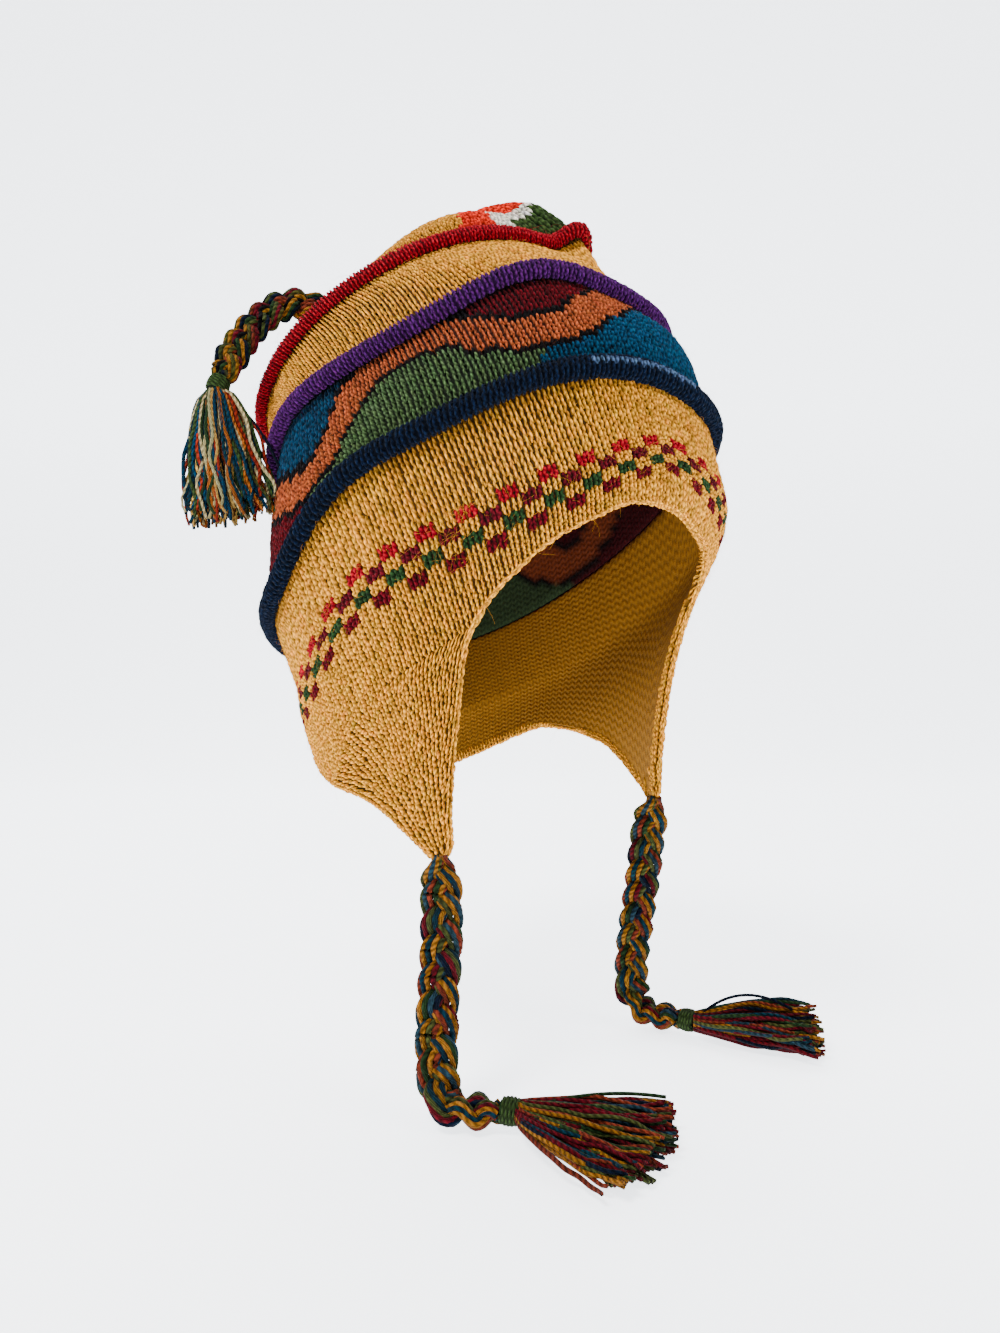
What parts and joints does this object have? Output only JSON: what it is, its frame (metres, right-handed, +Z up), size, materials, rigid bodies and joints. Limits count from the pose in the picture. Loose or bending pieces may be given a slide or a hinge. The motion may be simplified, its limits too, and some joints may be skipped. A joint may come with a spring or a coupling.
{
  "type": "chullo hat",
  "caption": "Knitted wool hat with ear flaps, raised colour welts, a slumped crown, and braided ties ending in tassels.",
  "frame": {"origin": "where a head carries the hat: the middle of the brow ring, about 16 cm above the table that the ear tassels lie on", "axes": "+Z up, the face opening looks along -Y, the wearer's right is -X"},
  "size_m": [0.1888, 0.2315, 0.3226],
  "materials": {
    "gold_wool": "marled wool knit",
    "navy_wool": "wool knit",
    "purple_wool": "wool knit",
    "red_wool": "wool knit",
    "orange_wool": "patterned wool knit",
    "green_wool": "wound wool yarn",
    "mixed_wool": "plied wool yarns of several colours"
  },
  "bodies": {
    "root": {"lower_band": "gold_wool", "navy_welt": "navy_wool", "wave_band": "orange_wool", "purple_welt": "purple_wool", "upper_band": "gold_wool", "red_welt": "red_wool", "crown_top": "gold_wool", "crown_braid": "mixed_wool", "crown_wrap": "green_wool", "crown_tassel": "mixed_wool", "right_braid": "mixed_wool", "right_wrap": "green_wool", "right_tassel": "mixed_wool", "left_braid": "mixed_wool", "left_wrap": "green_wool", "left_tassel": "mixed_wool"}
  },
  "joints": []
}
